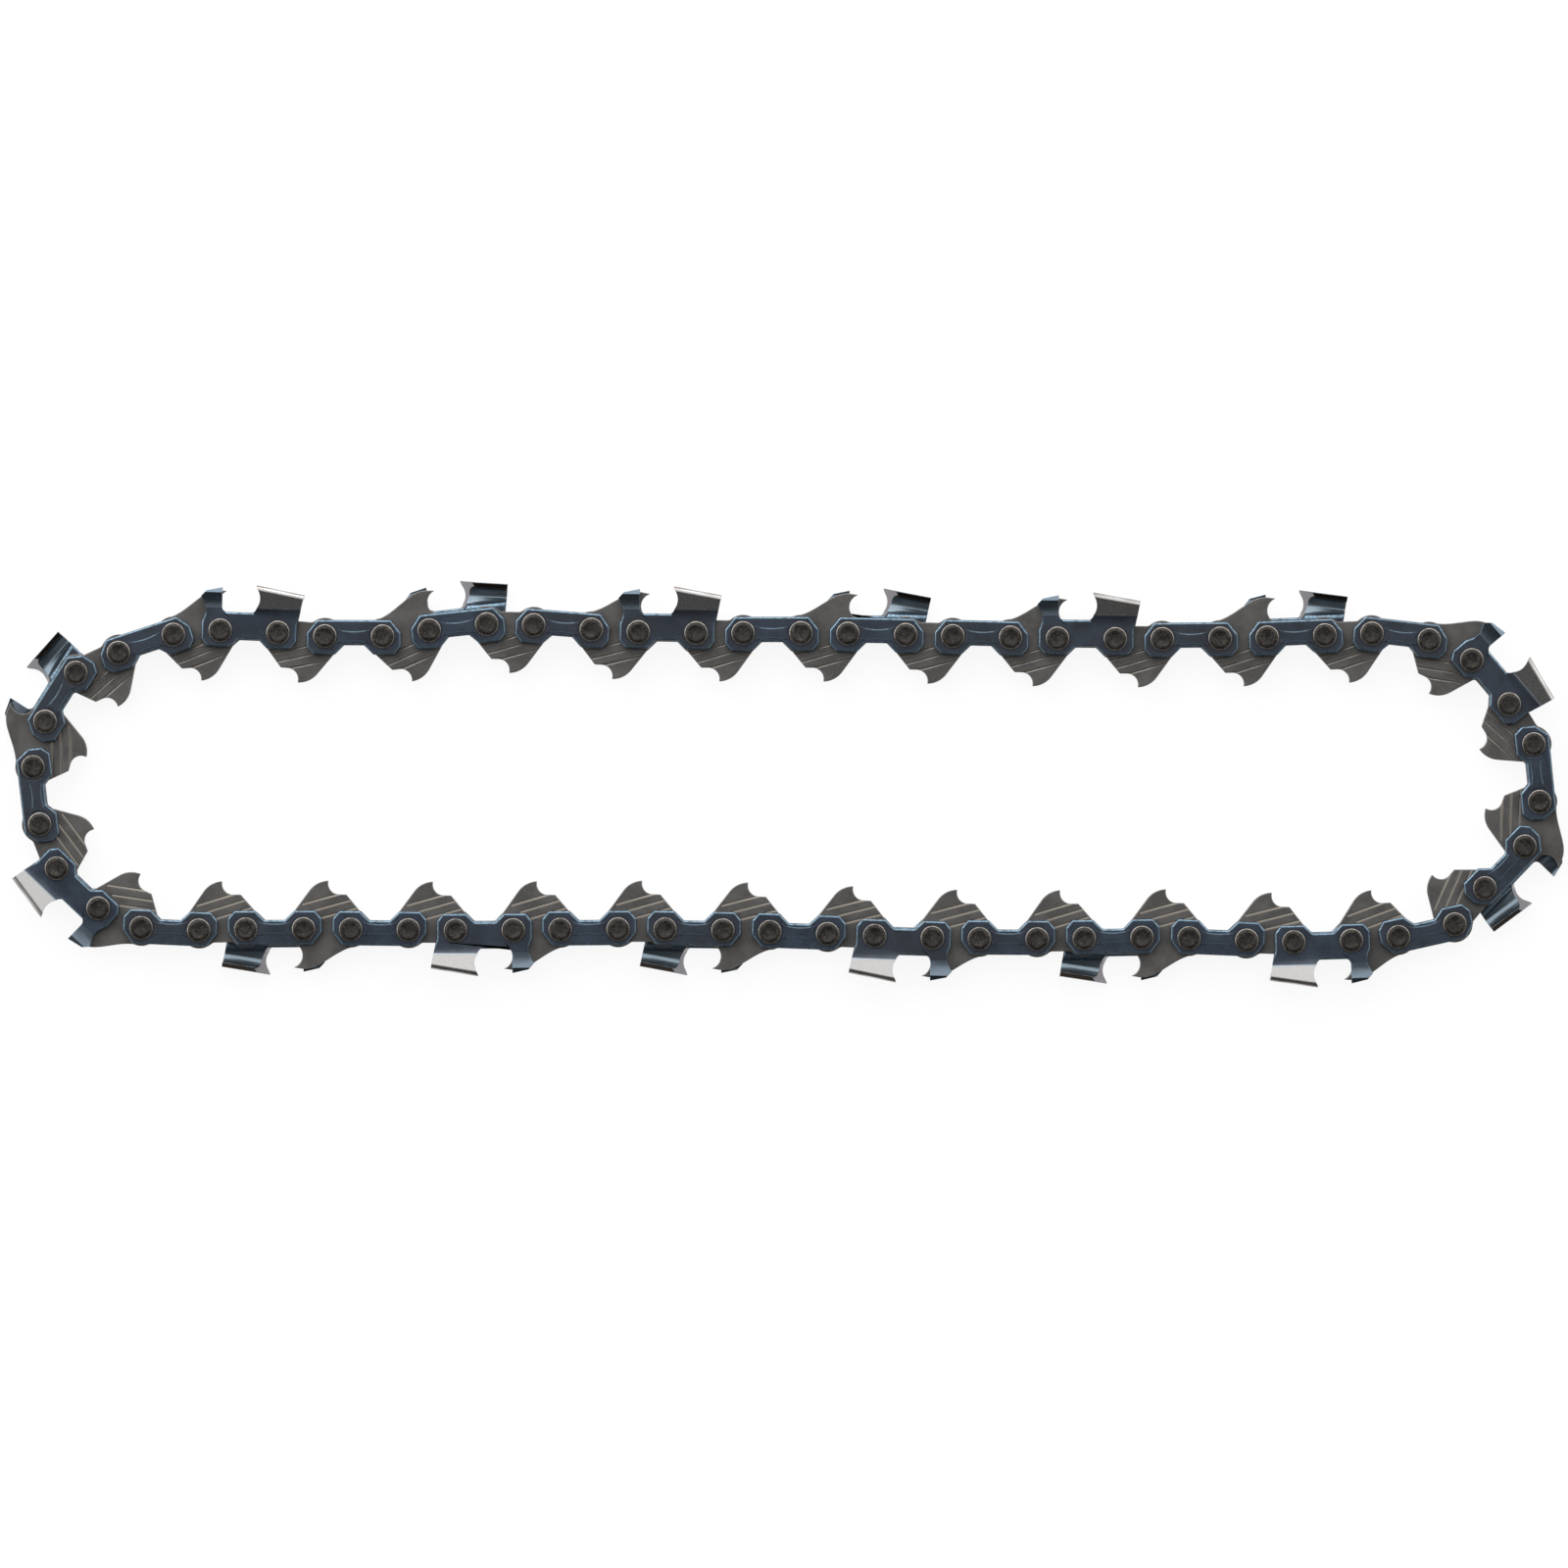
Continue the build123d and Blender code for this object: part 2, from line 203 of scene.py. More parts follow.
def makeGrainGroup():
    group, start, end = newGroup(
        "steelGrain", {"Place": None, "Fineness": 6.0, "Scratch": 0.4}, ["Tone", "Height"])
    pits = addNode(group, "ShaderNodeTexNoise", grainLook["pits"])
    wire(group, start.outputs["Place"], pits.inputs["Vector"])
    wire(group, start.outputs["Fineness"], pits.inputs["Scale"])
    stretch = addNode(group, "ShaderNodeMapping", {"Scale": grainLook["stretch"]})
    wire(group, start.outputs["Place"], stretch.inputs["Vector"])
    lines = addNode(group, "ShaderNodeTexNoise", grainLook["lines"])
    wire(group, stretch.outputs["Vector"], lines.inputs["Vector"])
    both = addNode(group, "ShaderNodeMix")
    wire(group, start.outputs["Scratch"], both.inputs[0])
    wire(group, pits.outputs[0], both.inputs[2])
    wire(group, lines.outputs[0], both.inputs[3])
    wire(group, ramp(group, both.outputs[0], *grainLook["toneSpan"]), end.inputs["Tone"])
    wire(group, both.outputs[0], end.inputs["Height"])
    return group


mottleLook = {                   # slow change of tone from heat and oil, and small specks
    "apart": (37.0, 53.0, 71.0),         # takes each link to a part of the noise of its own
    "slow": {"Detail": 2.0, "Roughness": 0.5}, "patchSpan": (0.32, 0.68),
    "quick": {"Scale": 2.6, "Detail": 3.0, "Roughness": 0.6}, "speckSpan": (0.5, 0.72),
}


def makeMottleGroup():
    group, start, end = newGroup(
        "oilMottle", {"Place": None, "Shade": 0.5, "Size": 0.35}, ["Patches", "Specks"])
    moved = addNode(group, "ShaderNodeVectorMath", operation="ADD")
    apart = addNode(group, "ShaderNodeVectorMath", {0: mottleLook["apart"]}, operation="SCALE")
    wire(group, start.outputs["Shade"], apart.inputs["Scale"])
    wire(group, start.outputs["Place"], moved.inputs[0])
    wire(group, apart.outputs[0], moved.inputs[1])
    slow = addNode(group, "ShaderNodeTexNoise", mottleLook["slow"])
    wire(group, moved.outputs[0], slow.inputs["Vector"])
    wire(group, start.outputs["Size"], slow.inputs["Scale"])
    wire(group, ramp(group, slow.outputs[0], *mottleLook["patchSpan"]), end.inputs["Patches"])
    quick = addNode(group, "ShaderNodeTexNoise", mottleLook["quick"])
    wire(group, moved.outputs[0], quick.inputs["Vector"])
    wire(group, ramp(group, quick.outputs[0], *mottleLook["speckSpan"]), end.inputs["Specks"])
    return group


wearLook = {                     # bare metal on the rounded edges, broken up by small nicks
    "nicks": {"Scale": 1.1, "Detail": 4.0, "Roughness": 0.7}, "nickSpan": (0.3, 0.6),
    "least": 0.35,               # wear that the nicks leave
}


def makeWearGroup():
    group, start, end = newGroup("edgeWear", {"Place": None, "Edge": 0.0, "Amount": 0.6}, ["Mask"])
    nicks = addNode(group, "ShaderNodeTexNoise", wearLook["nicks"])
    wire(group, start.outputs["Place"], nicks.inputs["Vector"])
    broken = ramp(group, nicks.outputs[0], *wearLook["nickSpan"], wearLook["least"])
    worn = math2(group, "MULTIPLY", start.outputs["Edge"], broken)
    wire(group, math2(group, "MULTIPLY", worn, start.outputs["Amount"], clamp=True), end.inputs["Mask"])
    return group


grainGroup, mottleGroup, wearGroup = makeGrainGroup(), makeMottleGroup(), makeWearGroup()


def useGroup(tree, group, values, **wires):
    node = addNode(tree, "ShaderNodeGroup", values, node_tree=group)
    for key, source in wires.items():
        wire(tree, source, node.inputs[key])
    return node.outputs


def newMaterial(name, specular):
    material = bpy.data.materials.new(name)
    material.use_nodes = True
    tree = material.node_tree
    shader = tree.nodes["Principled BSDF"]
    shader.inputs["Specular IOR Level"].default_value = specular
    return material, tree, shader


def attribute(tree, name, output="Fac"):
    return addNode(tree, "ShaderNodeAttribute", attribute_name=name).outputs[output]


# Steels

steelMix = {
    "grain": 0.35, "specks": 0.35,       # how much of each shows in a steel's colour
    "bumpStrength": 0.5,
}
bluedFinish = {
    "dark": (0.022, 0.031, 0.048, 1), "light": (0.040, 0.058, 0.088, 1), "speck": (0.075, 0.080, 0.088, 1),
    "edge": (0.22, 0.33, 0.42, 1), "fineness": 7.0, "scratch": 0.35, "patchSize": 0.3, "edgeWear": 0.85,
    "roughLow": 0.28, "roughHigh": 0.42, "grainDepth": 0.02,
    "metallic": 0.3, "specular": 0.45, "polish": 0.14,
    "warm": (0.036, 0.034, 0.036, 1), "warmShare": 0.55,     # some links are browner than others
}
toothFinish = {
    "dark": (0.45, 0.44, 0.435, 1), "light": (0.60, 0.59, 0.585, 1), "metal": 0.85,     # chromed outside
    "grainShare": 0.1,           # ground faces and the gauge are smoother than the base
    "outerLean": 5.0, "innerLean": -3.5,                            # degrees, of the ground faces
    "gauge": (0.19, 0.24, 0.29, 1),
    "foot": 4.0, "top": 4.5,     # mm, height over which the base's blue gives way to the ground tooth
    "front": -2.5, "frontBlend": 0.5,    # mm, the depth gauge, ahead of this, stays blue
    "brown": (0.10, 0.072, 0.052, 1), "brownShare": 0.6,            # heat mark in the rear corner
    "cornerX": (6.0, 8.0), "cornerY": (6.2, 7.8),
    "bend": (0.26, 0.21, 0.18, 1), "bendSpan": (7.6, 8.1), "bendShare": 0.7,          # and along the bend
    "glossy": (0.30, 0.38, 0.44, 1), "insideDull": 0.14,            # inside, and the roughness added there
    "freeEdge": (0.035, 0.027, 0.022, 1), "freeReach": (0.7, 0.9),  # top plate's edge, near the middle plane
    "filed": (0.24, 0.23, 0.245, 1),                                # ground hollow of the cutting edge
}
driveFinish = {
    "dark": (0.075, 0.073, 0.071, 1), "light": (0.126, 0.122, 0.118, 1), "speck": (0.18, 0.168, 0.155, 1),
    "edge": (0.34, 0.32, 0.30, 1), "fineness": 8.0, "scratch": 0.5, "patchSize": 0.25, "edgeWear": 0.55,
    "roughLow": 0.34, "roughHigh": 0.5, "grainDepth": 0.025,
    "metallic": 0.3, "specular": 0.4, "polish": 0.04,
    "groove": (0.30, 0.27, 0.235, 1), "grooveShare": 0.85,   # pressed grooves keep bright walls
}
rivetFinish = {
    "dark": (0.012, 0.011, 0.010, 1), "light": (0.046, 0.041, 0.037, 1), "speck": (0.20, 0.175, 0.15, 1),
    "edge": (0.66, 0.60, 0.54, 1), "fineness": 5.0, "scratch": 0.15, "patchSize": 0.9, "edgeWear": 1.0,
    "roughLow": 0.22, "roughHigh": 0.4, "grainDepth": 0.04,
    "metallic": 0.4, "specular": 0.45, "polish": 0.14,
}


def steelBase(tree, finish, place):      # the effects that every steel here has, with the finish's own values
    grainValues = {"Fineness": finish["fineness"], "Scratch": finish["scratch"]}
    grain = useGroup(tree, grainGroup, grainValues, Place=place)
    shade, edge = attribute(tree, "shade"), attribute(tree, "edge")
    mottle = useGroup(tree, mottleGroup, {"Size": finish["patchSize"]}, Place=place, Shade=shade)
    wear = useGroup(tree, wearGroup, {"Amount": finish["edgeWear"]}, Place=place, Edge=edge)
    return grain, mottle, wear["Mask"]


def steelColour(tree, finish, grain, mottle):
    body = mixColour(tree, mottle["Patches"], finish["dark"], finish["light"])
    if "warm" in finish:
        browner = math2(tree, "MULTIPLY", attribute(tree, "shade"), finish["warmShare"])
        body = mixColour(tree, browner, body, finish["warm"])
    tone = math2(tree, "MULTIPLY", grain["Tone"], steelMix["grain"])
    specks = math2(tree, "MULTIPLY", mottle["Specks"], steelMix["specks"])
    return mixColour(tree, specks, mixColour(tree, tone, body, finish["light"]), finish["speck"])


def finishSteel(tree, shader, finish, colour, grain, bare, height, dull=0.0):
    wire(tree, colour, shader.inputs["Base Color"])
    wire(tree, ramp(tree, bare, 0, 1, finish["metallic"], 1.0), shader.inputs["Metallic"])
    rough = ramp(tree, grain["Tone"], 0, 1, finish["roughLow"], finish["roughHigh"])
    smoother = math2(tree, "MULTIPLY", bare, finish["polish"])      # bare metal is smoother than the rest
    rough = math2(tree, "SUBTRACT", rough, smoother)
    wire(tree, math2(tree, "ADD", rough, dull), shader.inputs["Roughness"])
    depth = {"Strength": steelMix["bumpStrength"], "Distance": finish["grainDepth"] * mm}
    bump = addNode(tree, "ShaderNodeBump", depth)
    wire(tree, height, bump.inputs["Height"])
    wire(tree, bump.outputs["Normal"], shader.inputs["Normal"])


def makeSteel(name, finish):
    material, tree, shader = newMaterial(name, finish["specular"])
    grain, mottle, worn = steelBase(tree, finish, attribute(tree, "linkPlace", "Vector"))
    colour = steelColour(tree, finish, grain, mottle)
    bare = worn
    if "groove" in finish:
        pressed = math2(tree, "MULTIPLY", attribute(tree, "groove"), finish["grooveShare"])
        colour = mixColour(tree, pressed, colour, finish["groove"])
        bare = math2(tree, "MAXIMUM", worn, pressed)
    colour = mixColour(tree, worn, colour, finish["edge"])
    finishSteel(tree, shader, finish, colour, grain, bare, grain["Height"])
    return material


def chromeColour(tree, tooth, grain, along, up):         # ground outside of the tooth, with its heat marks
    chrome = mixColour(tree, grain["Tone"], tooth["dark"], tooth["light"])
    rear, high = ramp(tree, along, *tooth["cornerX"]), ramp(tree, up, *tooth["cornerY"])
    corner = math2(tree, "MULTIPLY", math2(tree, "MULTIPLY", rear, high), tooth["brownShare"])
    chrome = mixColour(tree, corner, chrome, tooth["brown"])
    bent = ramp(tree, up, *tooth["bendSpan"], 0.0, tooth["bendShare"])
    return mixColour(tree, bent, chrome, tooth["bend"])


def toothLean(tree, finish, tooth, up, behind):          # bump height that leans the ground faces
    rise = math2(tree, "MAXIMUM", math2(tree, "SUBTRACT", up, tooth["foot"]), 0.0)
    unit = finish["grainDepth"] * steelMix["bumpStrength"]          # mm that a height of 1 stands for
    slopes = [math.tan(math.radians(tooth[side])) / unit for side in ("innerLean", "outerLean")]
    slope = ramp(tree, attribute(tree, "outside"), 0, 1, *slopes)
    return math2(tree, "MULTIPLY", math2(tree, "MULTIPLY", rise, behind), slope)


def makeCutterSteel():           # blued like the straps, with a ground, chromed outside on the tooth
    finish, tooth = bluedFinish, toothFinish
    material, tree, shader = newMaterial("cutterSteel", finish["specular"])
    place = attribute(tree, "linkPlace", "Vector")
    grain, mottle, worn = steelBase(tree, finish, place)
    split = addNode(tree, "ShaderNodeSeparateXYZ")
    wire(tree, place, split.inputs[0])
    along, up, side = split.outputs
    high = ramp(tree, up, tooth["foot"], tooth["top"])
    behind = ramp(tree, along, tooth["front"] - tooth["frontBlend"], tooth["front"])
    onTooth = math2(tree, "MULTIPLY", high, behind)
    outer = math2(tree, "MULTIPLY", onTooth, attribute(tree, "outside"))
    inner = math2(tree, "SUBTRACT", onTooth, outer, clamp=True)
    gauge = math2(tree, "SUBTRACT", high, onTooth, clamp=True)
    offMiddle = math2(tree, "ABSOLUTE", side, 0.0)
    free = math2(tree, "MULTIPLY", onTooth, ramp(tree, offMiddle, *tooth["freeReach"], 1.0, 0.0))
    filed = attribute(tree, "filed")
    colour = steelColour(tree, finish, grain, mottle)
    layers = [(outer, chromeColour(tree, tooth, grain, along, up)), (gauge, tooth["gauge"]),
              (inner, tooth["glossy"]), (free, tooth["freeEdge"]), (filed, tooth["filed"]),
              (worn, finish["edge"])]
    for mask, layer in layers:
        colour = mixColour(tree, mask, colour, layer)
    glossy = math2(tree, "SUBTRACT", math2(tree, "ADD", inner, gauge), free, clamp=True)
    chromed = math2(tree, "MULTIPLY", outer, tooth["metal"])
    bare = worn
    for mask in (glossy, chromed, filed):
        bare = math2(tree, "MAXIMUM", bare, mask)
    smoothed = math2(tree, "MULTIPLY", grain["Height"], ramp(tree, high, 0, 1, 1.0, tooth["grainShare"]))
    height = math2(tree, "ADD", smoothed, toothLean(tree, finish, tooth, up, behind))
    dull = math2(tree, "MULTIPLY", inner, tooth["insideDull"])
    finishSteel(tree, shader, finish, colour, grain, bare, height, dull)
    return material


steels = {
    "strap": makeSteel("bluedSteel", bluedFinish),
    "cutter": makeCutterSteel(),
    "drive": makeSteel("driveLinkSteel", driveFinish),
    "rivet": makeSteel("rivetSteel", rivetFinish),
}
print("materials:", ", ".join(material.name for material in steels.values()))


# Plates: the frame's own solids, with the edges that stamping and tumbling leave

plateEdges = {
    "flatAngle": 0.5,            # degrees, faces flatter than this to each other become one
    "sharpAngle": 28.0,          # degrees, edges past this are rounded
    "shadeAngle": 50.0,          # degrees, edges past this are shaded sharp
    "segments": 4,
    "strap": 0.36 * mm, "drive": 0.15 * mm, "cutter": 0.36 * mm,
    "toothShare": 0.18,          # of the cutter's rounding, on the edges of its tooth
    "toothFoot": 3.6 * mm,
    "uprightLean": 0.5,          # faces that look up or down less than this are walls
    "wallHeight": 0.3 * mm,      # walls lower than this belong to grooves and ribs, which stay as they are
    "wornLean": 0.8,             # rounded faces that look up or down more than this are worn
    "grooveLean": (0.75, 0.985),         # how far the walls of grooves and ribs look up or down
    "ribReach": 2.2, "ribWear": 0.6,     # mm from a strap's middle, and wear on its rib's sides
    "rivetCover": 2.0 * mm,      # edges this near to a rivet's axis are under its head
    "outsideDepth": 0.1 * mm,    # faces that look inwards from further out than this are the inside
}


def edgeWeight(edge, kind, toLink, holes):
    if len(edge.link_faces) != 2 or edge.calc_face_angle(0) < math.radians(plateEdges["sharpAngle"]):
        return 0.0
    spot = toLink @ ((edge.verts[0].co + edge.verts[1].co) / 2)
    if any(math.hypot(spot.x - hole, spot.y) < plateEdges["rivetCover"] for hole in holes):
        return 0.0
    walls = [face for face in edge.link_faces if abs(face.normal.z) < plateEdges["uprightLean"]]
    for wall in walls:
        levels = [vert.co.z for vert in wall.verts]
        if max(levels) - min(levels) < plateEdges["wallHeight"]:
            return 0.0
    if not edge.is_convex or (kind == "strap" and not walls):
        return 0.0
    if kind == "cutter" and spot.y > plateEdges["toothFoot"]:
        return plateEdges["toothShare"]
    return 1.0


def plateForm(shell, kind, toLink, holes):
    form = bmesh.new()
    verts = [form.verts.new(point) for point in shell["points"]]
    for face in shell["faces"]:
        form.faces.new([verts[n] for n in face])
    bmesh.ops.recalc_face_normals(form, faces=form.faces)
    bmesh.ops.dissolve_limit(
        form, angle_limit=math.radians(plateEdges["flatAngle"]), verts=form.verts, edges=form.edges)
    weights = form.edges.layers.float.new("bevel_weight_edge")
    for edge in form.edges:
        edge[weights] = edgeWeight(edge, kind, toLink, holes)
    mesh = bpy.data.meshes.new("plate")
    form.to_mesh(mesh)
    form.free()
    for slot in range(2):        # rounded edges come out of the bevel with the second slot
        mesh.materials.append(None)
    holder = bpy.data.objects.new("plate", mesh)
    bpy.context.scene.collection.objects.link(holder)
    bevel = holder.modifiers.new("rounding", "BEVEL")
    bevel.width = plateEdges[kind]
    bevel.segments = plateEdges["segments"]
    bevel.limit_method = "WEIGHT"
    bevel.use_clamp_overlap = False
    bevel.loop_slide = False     # the flat faces' long inner edges must not steer the rounding
    bevel.material = 1
    depsgraph = bpy.context.evaluated_depsgraph_get()
    rounded = bpy.data.meshes.new_from_object(holder.evaluated_get(depsgraph))
    bpy.data.objects.remove(holder)
    bpy.data.meshes.remove(mesh)
    return rounded


hollow = {                       # the ground hollow's axis in a cutter's own axes, mm, for the upper side
    "at": Vector((-2.14, 6.2, 3.2)), "along": Vector((-0.5, 0, 0.866)),
    "radius": 3.3, "near": 0.08, "foot": 2.5,
}


def isFiled(place):              # on the ground hollow of a left or right cutter
    side = math.copysign(1, place.z)
    apart = Vector((place.x, place.y, place.z * side)) - hollow["at"]
    away = (apart - hollow["along"] * apart.dot(hollow["along"])).length
    return place.y > hollow["foot"] and abs(away - hollow["radius"]) < hollow["near"]


def storeValues(mesh, name, kind, domain, values):
    layer = mesh.attributes.new(name, kind, domain)
    layer.data.foreach_set("vector" if kind == "FLOAT_VECTOR" else "value", values)


def finishPiece(name, meshes, toLink, materials, shade, body, node):
    form = bmesh.new()
    edgeLayer = form.faces.layers.float.new("edge")
    grooveLayer = form.faces.layers.float.new("groove")
    filedLayer = form.faces.layers.float.new("filed")
    leastLean, mostLean = plateEdges["grooveLean"]
    done = 0
    for index, mesh in enumerate(meshes):
        form.from_mesh(mesh)
        form.faces.ensure_lookup_table()
        for face in form.faces[done:]:
            face.normal_update()
            rounded, lean = face.material_index == 1, abs(face.normal.z)
            place = toLink @ face.calc_center_median() / mm
            sloping = not rounded and leastLean < lean < mostLean
            face[edgeLayer] = float(rounded and lean > plateEdges["wornLean"])
            if sloping and materials[index] == steels["strap"] and abs(place.x) < plateEdges["ribReach"]:
                face[edgeLayer] = plateEdges["ribWear"]
            face[grooveLayer] = float(sloping)
            face[filedLayer] = float(materials[index] == steels["cutter"] and isFiled(place))
            face.material_index = index
            face.smooth = True
        done = len(form.faces)
    joined = bpy.data.meshes.new(name)
    form.to_mesh(joined)
    form.free()
    for material in materials:
        joined.materials.append(material)
    linkPlaces = [part for vert in joined.vertices for part in (toLink @ vert.co) / mm]
    faceSides = [(toLink @ face.center).z * face.normal.z for face in joined.polygons]
    outside = [float(side > -plateEdges["outsideDepth"]) for side in faceSides]
    storeValues(joined, "linkPlace", "FLOAT_VECTOR", "POINT", linkPlaces)
    storeValues(joined, "shade", "FLOAT", "POINT", [shade] * len(joined.vertices))
    storeValues(joined, "outside", "FLOAT", "FACE", outside)
    joined.set_sharp_from_angle(angle=math.radians(plateEdges["shadeAngle"]))
    piece = bpy.data.objects.new(name, joined)
    bpy.context.scene.collection.objects.link(piece)
    even = piece.modifiers.new("evenShading", "WEIGHTED_NORMAL")
    even.keep_sharp = True
    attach(piece, body)
    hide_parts(node)
    return piece


# Rivets: turned about their axis, with a peened head at each end

rivetShape = {
    "turns": 44,
    "near": 0.01 * mm,           # points this close in height or radius belong together
    "dish": 0.10 * mm,           # hollow in the middle of the head
    "dishSteps": [(0, 1.0), (0.35, 0.93), (0.62, 0.6), (0.82, 0.15)],      # shares of its radius and depth
    "lip": 0.16 * mm,            # width of the rounding round its flat
    "lipStart": 0.5, "lipTurn": (0.2, 0.3),      # in lips from the flat's edge: inwards, then out and down
    "rim": (1.25, 0.5),          # in lips from the head's edge, where the bright rim begins and ends
    "rimStep": 7,                # step of the outline that is the bright rim
    "rimDrop": 0.05 * mm,        # height of the small round at the head's edge
    "coneSink": 0.2, "edgeIn": 0.3,      # in drops: the cone starts lower, the round starts inside
}


def rivetProfile():              # (radius, height above the middle plane), read from a rivet of the frame
    middle, near = oneRivet["middle"], rivetShape["near"]
    spots = [(math.hypot(p.x - middle.x, p.y - middle.y), p.z - middlePlane) for p in oneRivet["points"]]
    top = max(z for r, z in spots)
    flat = max(r for r, z in spots if z > top - near)
    hub = max(r for r, z in spots)
    hubTop = max(z for r, z in spots if r > hub - near)
    seats = [(r, z) for r, z in spots if hubTop + near < z < top - near]
    seat = max(z for r, z in seats)
    head = max(r for r, z in seats)
    shank = min(r for r, z in seats)
    dish, lip, drop = rivetShape["dish"], rivetShape["lip"], rivetShape["rimDrop"]
    slope = (top - seat) / (head - flat)
    outwards, down = rivetShape["lipTurn"]
    dished = [(flat * share, top - dish * deep) for share, deep in rivetShape["dishSteps"]]
    rim = [(head - lip * inside, seat + lip * inside * slope) for inside in rivetShape["rim"]]
    return dished + [
        (flat - lip * rivetShape["lipStart"], top), (flat + lip * outwards, top - lip * down),
        (flat + lip, top - lip * slope - drop * rivetShape["coneSink"]), *rim,
        (head - drop * rivetShape["edgeIn"], seat + drop), (head, seat),
        (shank, seat), (shank, hubTop), (hub, hubTop)]


def rivetMesh(centre, spin):
    upper, count = rivetProfile(), rivetShape["turns"]
    outline = upper + [(r, -z) for r, z in reversed(upper)]
    form = bmesh.new()
    rings = []
    for radius, height in outline:
        if radius == 0:
            rings.append([form.verts.new(centre + Vector((0, 0, height)))])
            continue
        angles = [spin + 2 * math.pi * turn / count for turn in range(count)]
        spots = [Vector((radius * math.cos(angle), radius * math.sin(angle), height)) for angle in angles]
        rings.append([form.verts.new(centre + spot) for spot in spots])
    for step, (inner, outer) in enumerate(zip(rings, rings[1:])):
        fromEnd = min(step, len(rings) - 2 - step)
        for turn in range(count):
            after = (turn + 1) % count
            if len(inner) == 1:
                face = form.faces.new((inner[0], outer[turn], outer[after]))
            elif len(outer) == 1:
                face = form.faces.new((inner[after], inner[turn], outer[0]))
            else:
                face = form.faces.new((inner[turn], outer[turn], outer[after], inner[after]))
            face.material_index = 1 if fromEnd == rivetShape["rimStep"] else 0
    bmesh.ops.recalc_face_normals(form, faces=form.faces)
    mesh = bpy.data.meshes.new("rivet")
    form.to_mesh(mesh)
    form.free()
    return mesh


# Every link, as its plates and its rivets

def plateKind(name, solid):      # a cutter link has a strap on its other side
    return "cutter" if "cutter" in name and solid["size"].z > chain["cutterHeight"] else "strap"


random.seed(chain["seed"])
pieces = []
for index, name in enumerate(names):
    node = nodeOf[name]
    toLink = linkFrame(index).inverted()
    ownPivots = [pivots[index], pivots[(index + 1) % len(pivots)]]
    holes = [(toLink @ pivot).x for pivot in ownPivots]
    shade = random.random()
    spins = [random.uniform(0, 2 * math.pi) for pivot in ownPivots]
    if "drive" in name:
        forms = [plateForm(s, "drive", toLink, holes) for s in shells[node] if isDrive(s)]
        coats = [steels["drive"]] * len(forms)
        pieces.append(finishPiece(
            name + "_tang", forms, toLink, coats, shade, node, node))
        continue
    solids = [s for s in shells[node] if not isRivet(s) and not isDrive(s)]
    forms = [plateForm(s, plateKind(name, s), toLink, holes) for s in solids]
    coats = [steels[plateKind(name, s)] for s in solids]
    pieces.append(finishPiece(
        name + "_plates", forms, toLink, coats, shade, node, node))
    turned = [rivetMesh(pivot, spin) for pivot, spin in zip(ownPivots, spins)]
    coats = [steels["rivet"]] * len(turned)
    pieces.append(finishPiece(
        name + "_rivets", turned, toLink, coats, shade, node, node))
print("pieces:", len(pieces), "faces:", sum(len(piece.data.polygons) for piece in pieces))


# Floor, light and camera

studio = {
    "floorSize": 8.0, "floorTone": 0.14, "floorGlow": 0.9,
    "floorGap": 0.02 * mm,       # below the lowest rivet heads
    "sky": {"low": 0.06, "high": 1.25, "span": (-0.1, 0.32), "lean": 0.15,   # bright past the loop's far side
            "side": 0.75, "sideSpan": (0.4, 0.9)},
    "key": {"at": (-0.25, 0.62, 0.34), "size": (0.9, 0.4), "power": 2.6},
}
view = {
    "photoWidth": 1600, "chainWidth": 1594,      # pixels, the picture and the loop in it
    "distance": 1.8, "sensor": 36.0, "clipEnd": 20,
}


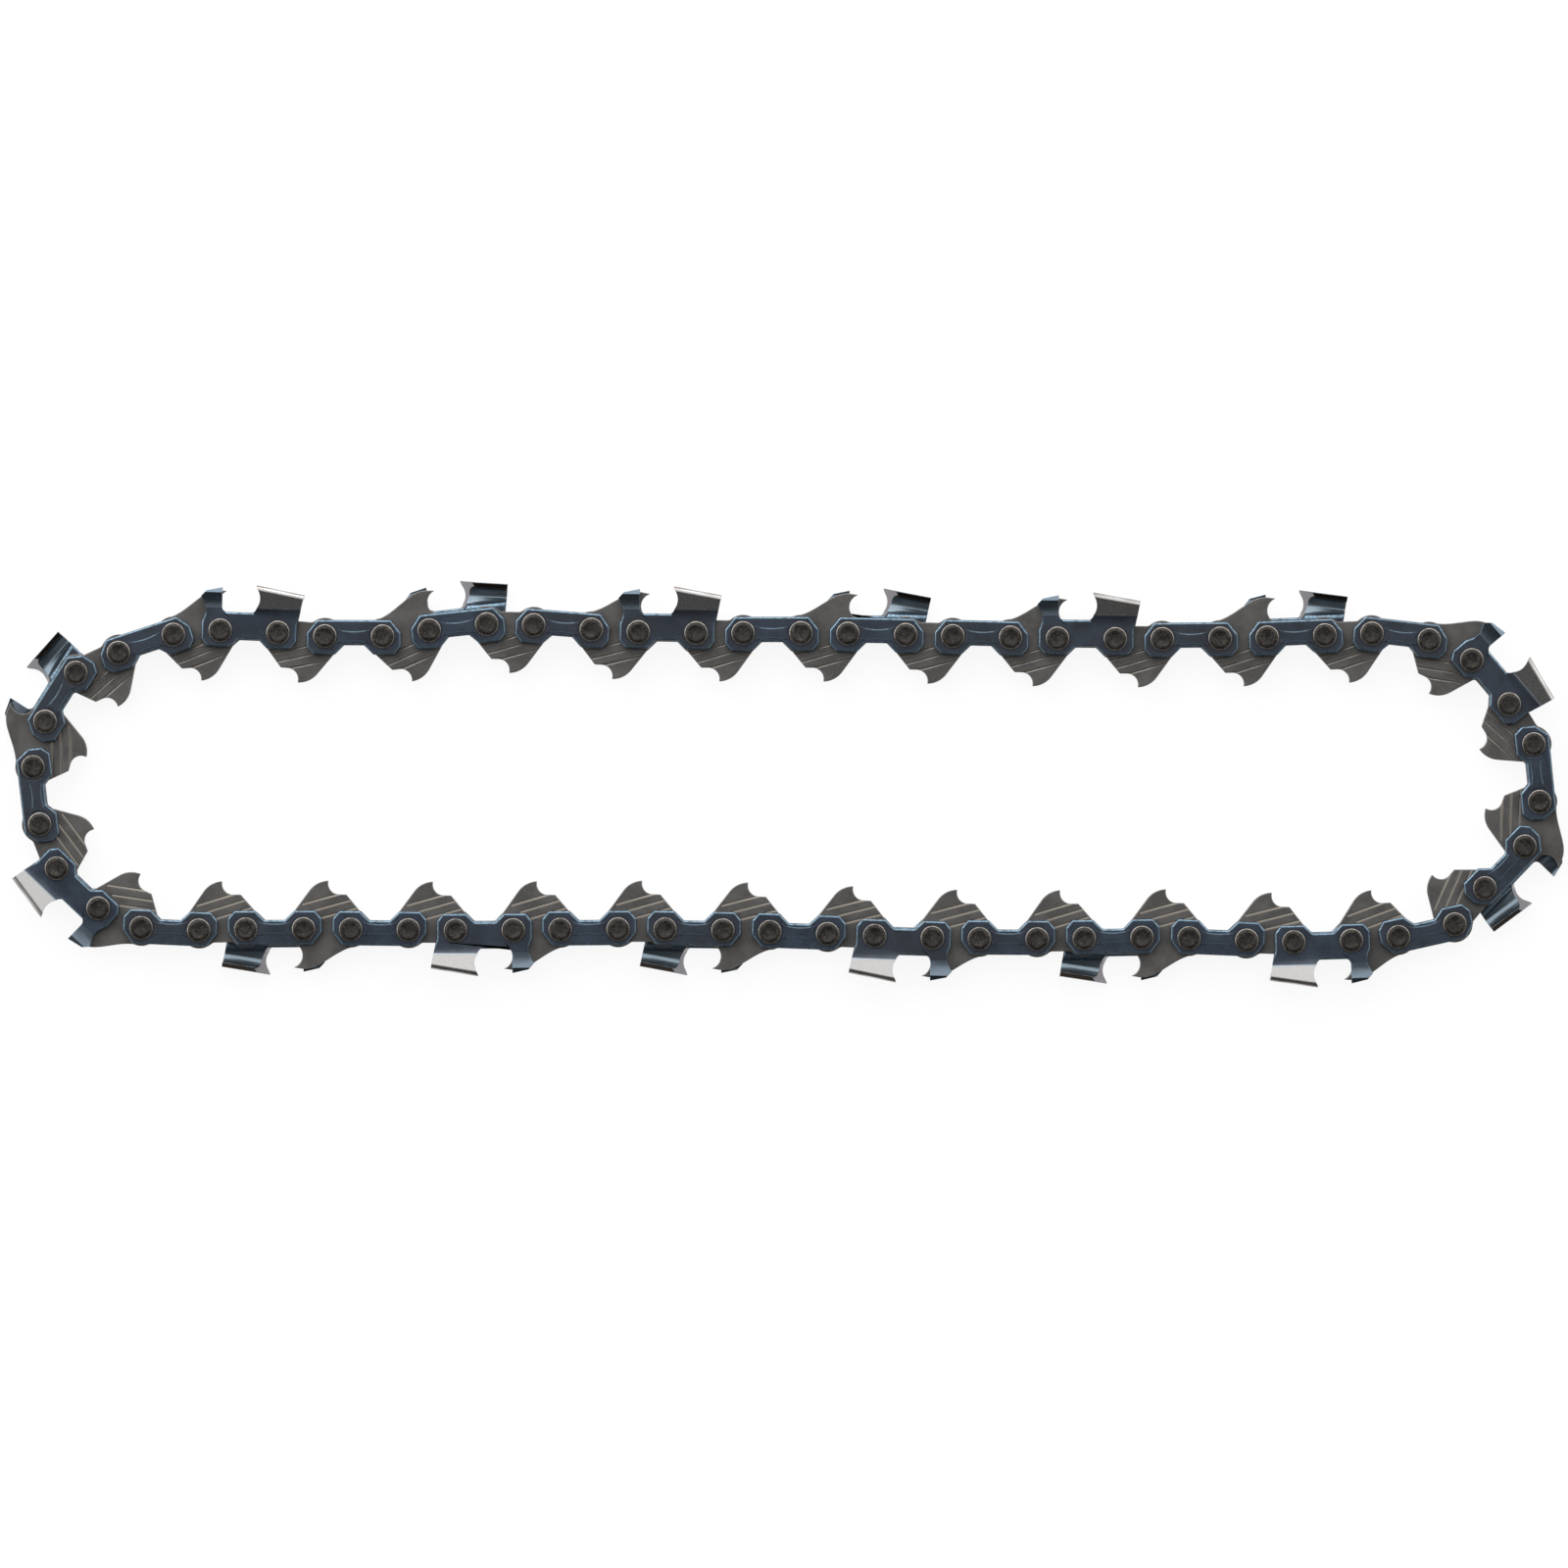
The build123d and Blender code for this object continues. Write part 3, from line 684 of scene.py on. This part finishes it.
def makeFloor():
    half, tone = studio["floorSize"] / 2, studio["floorTone"]
    corners = [(-half, -half, 0), (half, -half, 0), (half, half, 0), (-half, half, 0)]
    mesh = bpy.data.meshes.new("floor")
    mesh.from_pydata(corners, [], [(0, 1, 2, 3)])
    floor = bpy.data.objects.new("floor", mesh)
    bpy.context.scene.collection.objects.link(floor)
    floor.location.z = cadBox[0][2] - studio["floorGap"]
    material = bpy.data.materials.new("paleFloor")
    material.use_nodes = True
    tree = material.node_tree
    tree.nodes.remove(tree.nodes["Principled BSDF"])
    paint = addNode(tree, "ShaderNodeBsdfDiffuse", {"Color": (tone, tone, tone, 1)})
    path = addNode(tree, "ShaderNodeLightPath")
    seen = math2(tree, "MAXIMUM", path.outputs["Is Camera Ray"], path.outputs["Is Glossy Ray"])
    seen = math2(tree, "MAXIMUM", seen, path.outputs["Is Transmission Ray"])
    glow = addNode(tree, "ShaderNodeEmission", {"Color": (1, 1, 1, 1)})
    wire(tree, math2(tree, "MULTIPLY", seen, studio["floorGlow"]), glow.inputs["Strength"])
    both = addNode(tree, "ShaderNodeAddShader")
    wire(tree, paint.outputs[0], both.inputs[0])
    wire(tree, glow.outputs[0], both.inputs[1])
    wire(tree, both.outputs[0], tree.nodes["Material Output"].inputs["Surface"])
    mesh.materials.append(material)


def makeWorld():
    world = bpy.data.worlds.new("studio")
    bpy.context.scene.world = world
    world.use_nodes = True
    tree = world.node_tree
    sky, values = tree.nodes["Background"], studio["sky"]
    sky.inputs["Color"].default_value = (1, 1, 1, 1)
    split = addNode(tree, "ShaderNodeSeparateXYZ")
    wire(tree, addNode(tree, "ShaderNodeTexCoord").outputs["Generated"], split.inputs[0])
    across, away = split.outputs["X"], split.outputs["Y"]
    toLight = math2(tree, "SUBTRACT", away, math2(tree, "MULTIPLY", across, values["lean"]))
    front = ramp(tree, toLight, *values["span"], values["low"], values["high"])
    sides = ramp(tree, math2(tree, "ABSOLUTE", across, 0.0), *values["sideSpan"], 0.0, values["side"])
    wire(tree, math2(tree, "ADD", front, sides), sky.inputs["Strength"])


def makeLamp(name):
    values = studio[name]
    lamp = bpy.data.lights.new(name, "AREA")
    lamp.shape = "RECTANGLE"
    lamp.size, lamp.size_y = values["size"]
    lamp.energy = values["power"]
    holder = bpy.data.objects.new(name, lamp)
    bpy.context.scene.collection.objects.link(holder)
    holder.location = values["at"]
    holder.rotation_euler = (-Vector(values["at"])).to_track_quat("-Z", "Y").to_euler()


def makeCamera():
    camera = bpy.data.cameras.new("camera")
    holder = bpy.data.objects.new("camera", camera)
    bpy.context.scene.collection.objects.link(holder)
    width = (cadBox[1][0] - cadBox[0][0]) * view["photoWidth"] / view["chainWidth"]
    holder.location = (0, 0, cadBox[1][2] + view["distance"])      # straight down on the loop
    camera.sensor_width = view["sensor"]
    camera.lens = view["sensor"] * view["distance"] / width
    camera.clip_end = view["clipEnd"]
    bpy.context.scene.camera = holder


makeFloor()
makeWorld()
makeLamp("key")
makeCamera()
bpy.context.scene.view_settings.view_transform = "Standard"
print("studio ready")
